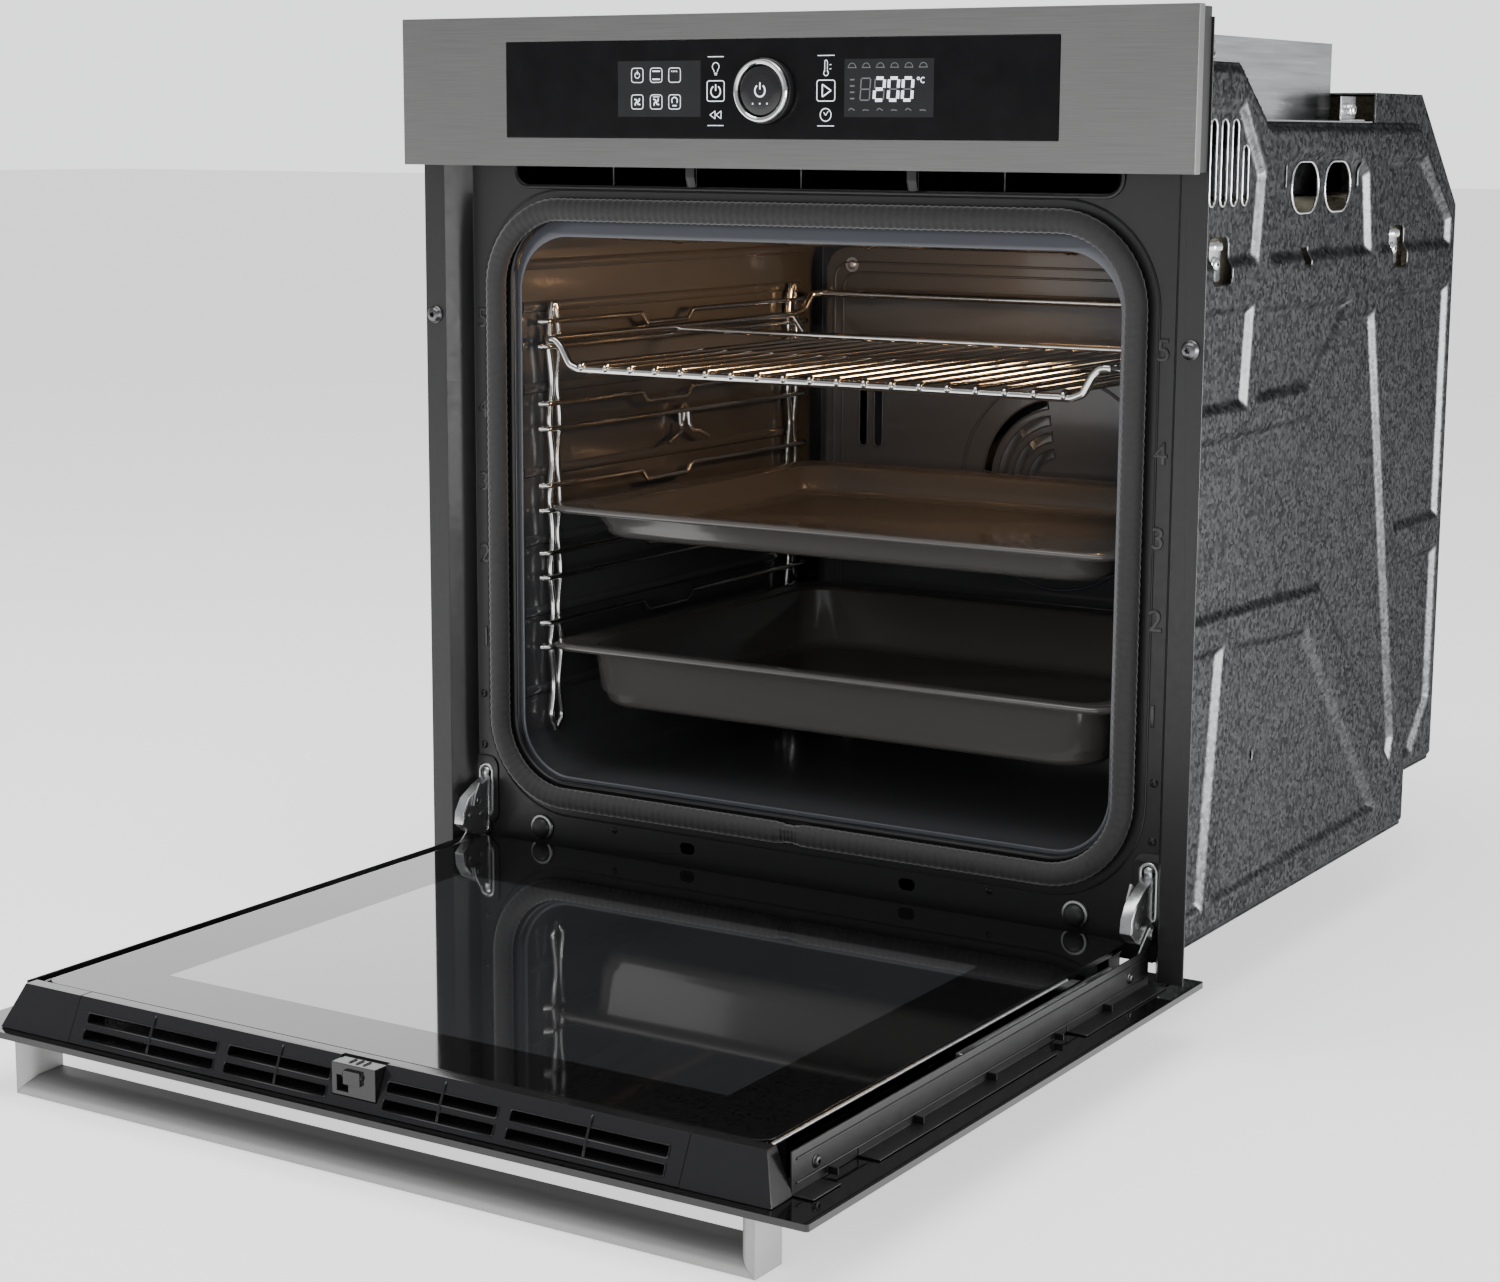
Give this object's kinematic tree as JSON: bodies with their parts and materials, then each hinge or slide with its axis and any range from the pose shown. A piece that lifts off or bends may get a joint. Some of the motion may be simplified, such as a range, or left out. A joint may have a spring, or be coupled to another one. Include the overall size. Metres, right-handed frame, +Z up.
{
  "type": "wall oven",
  "caption": "Built-in electric oven with a drop-down glass door, wire shelf, baking tray and drip pan on side racks, and a stainless control fascia with a turning knob.",
  "frame": {"origin": "middle of the chassis underside, in the plane of the front mounting flanges' rear side", "axes": "+X to the oven's right seen from the front, +Y to the rear, +Z up"},
  "size_m": [0.595, 1.001, 0.647],
  "materials": {
    "galvanised_sheet": "spangled zinc",
    "bright_sheet": "bright rolled",
    "black_enamel": "semi-gloss enamel",
    "cavity_enamel": "grey vitreous enamel",
    "tray_enamel": "brown-grey vitreous enamel",
    "braided_seal": "woven glass fibre",
    "mineral_wool": "matted fibre",
    "heater_sheath": "heat-darkened",
    "fan_aluminium": "pressed",
    "motor_steel": "plated",
    "lamp_glass": "warm lit",
    "chrome_wire": "polished",
    "terminal_plastic": "moulded",
    "brushed_stainless": "horizontal brushing",
    "handle_stainless": "satin",
    "black_plastic": "moulded",
    "gloss_black_plastic": "gloss",
    "control_glass": "black gloss",
    "display_panel": "smoked",
    "circuit_board": "solder mask",
    "knob_chrome": "polished",
    "hinge_steel": "zinc plated",
    "black_glass": "black enamelled back",
    "clear_glass": "heat-reflecting"
  },
  "bodies": {
    "chassis": {"base_plate": "galvanised_sheet", "left_side_panel": "galvanised_sheet", "right_side_panel": "galvanised_sheet", "rear_cover": "galvanised_sheet", "top_cover": "bright_sheet", "left_front_top_bracket": "bright_sheet", "right_front_top_bracket": "bright_sheet", "left_rear_top_bracket": "bright_sheet", "right_rear_top_bracket": "bright_sheet", "front_frame": "black_enamel", "door_gasket": "braided_seal", "cavity_liner": "cavity_enamel", "insulation_blanket": "mineral_wool", "grill_heater": "heater_sheath", "bottom_heater": "heater_sheath", "ring_heater": "heater_sheath", "fan_cover": "cavity_enamel", "fan_motor": "motor_steel", "oven_lamp": "lamp_glass", "left_shelf_rack": "chrome_wire", "right_shelf_rack": "chrome_wire", "air_channel": "galvanised_sheet", "blower_housing": "galvanised_sheet", "blower_motor": "motor_steel", "terminal_block": "terminal_plastic", "control_fascia": "brushed_stainless", "fascia_carrier": "black_plastic", "control_glass": "control_glass", "left_display": "display_panel", "right_display": "display_panel", "control_board": "circuit_board", "left_hinge_arm": "hinge_steel", "right_hinge_arm": "hinge_steel", "left_mounting_screw": "hinge_steel", "right_mounting_screw": "hinge_steel", "left_door_buffer": "hinge_steel", "right_door_buffer": "hinge_steel"},
    "door": {"door_outer_glass": "black_glass", "door_middle_glass": "clear_glass", "door_inner_glass": "clear_glass", "left_door_profile": "black_enamel", "right_door_profile": "black_enamel", "door_top_trim": "gloss_black_plastic", "left_trim_cap": "gloss_black_plastic", "right_trim_cap": "gloss_black_plastic", "trim_latch": "gloss_black_plastic", "handle_bar": "handle_stainless", "left_handle_post": "handle_stainless", "right_handle_post": "handle_stainless", "left_hinge_channel": "hinge_steel", "right_hinge_channel": "hinge_steel"},
    "wire_shelf": {"wire_shelf": "chrome_wire"},
    "baking_tray": {"baking_tray": "tray_enamel"},
    "drip_pan": {"drip_pan": "tray_enamel"},
    "control_knob": {"knob_ring": "knob_chrome"},
    "select_button": {"select_button": "gloss_black_plastic"},
    "convection_fan": {"fan_blade": "fan_aluminium"},
    "blower_wheel": {"blower_wheel": "fan_aluminium"},
    "left_catch": {"left_hinge_catch": "hinge_steel"},
    "right_catch": {"right_hinge_catch": "hinge_steel"}
  },
  "joints": [
    {"name": "door_hinge", "type": "hinge", "parent": "chassis", "child": "door", "pos_m": [0, 0.014, 0.022], "axis": [-1, 0, 0], "range_deg": [0, 90]},
    {"name": "wire_shelf_slide", "type": "slide", "parent": "chassis", "child": "wire_shelf", "axis": [0, 1, 0], "range_m": [-0.3, 0]},
    {"name": "baking_tray_slide", "type": "slide", "parent": "chassis", "child": "baking_tray", "axis": [0, 1, 0], "range_m": [-0.3, 0]},
    {"name": "drip_pan_slide", "type": "slide", "parent": "chassis", "child": "drip_pan", "axis": [0, 1, 0], "range_m": [-0.3, 0]},
    {"name": "knob_turn", "type": "hinge", "parent": "chassis", "child": "control_knob", "pos_m": [0, -0.03, 0.5475], "axis": [0, -1, 0], "continuous": true},
    {"name": "select_button_press", "type": "slide", "parent": "chassis", "child": "select_button", "axis": [0, 1, 0], "range_m": [0, 0.0012], "stiffness_N_per_m": 1500},
    {"name": "convection_fan_spin", "type": "hinge", "parent": "chassis", "child": "convection_fan", "pos_m": [0, 0.43, 0.25], "axis": [0, 1, 0], "continuous": true},
    {"name": "blower_wheel_spin", "type": "hinge", "parent": "chassis", "child": "blower_wheel", "pos_m": [0, 0.27, 0.52], "axis": [0, 0, 1], "continuous": true},
    {"name": "left_catch_flip", "type": "hinge", "parent": "chassis", "child": "left_catch", "pos_m": [-0.2586, 0.002, 0.042], "axis": [-1, 0, 0], "range_deg": [-50, 0]},
    {"name": "right_catch_flip", "type": "hinge", "parent": "chassis", "child": "right_catch", "pos_m": [0.2586, 0.002, 0.042], "axis": [-1, 0, 0], "range_deg": [-50, 0]}
  ]
}
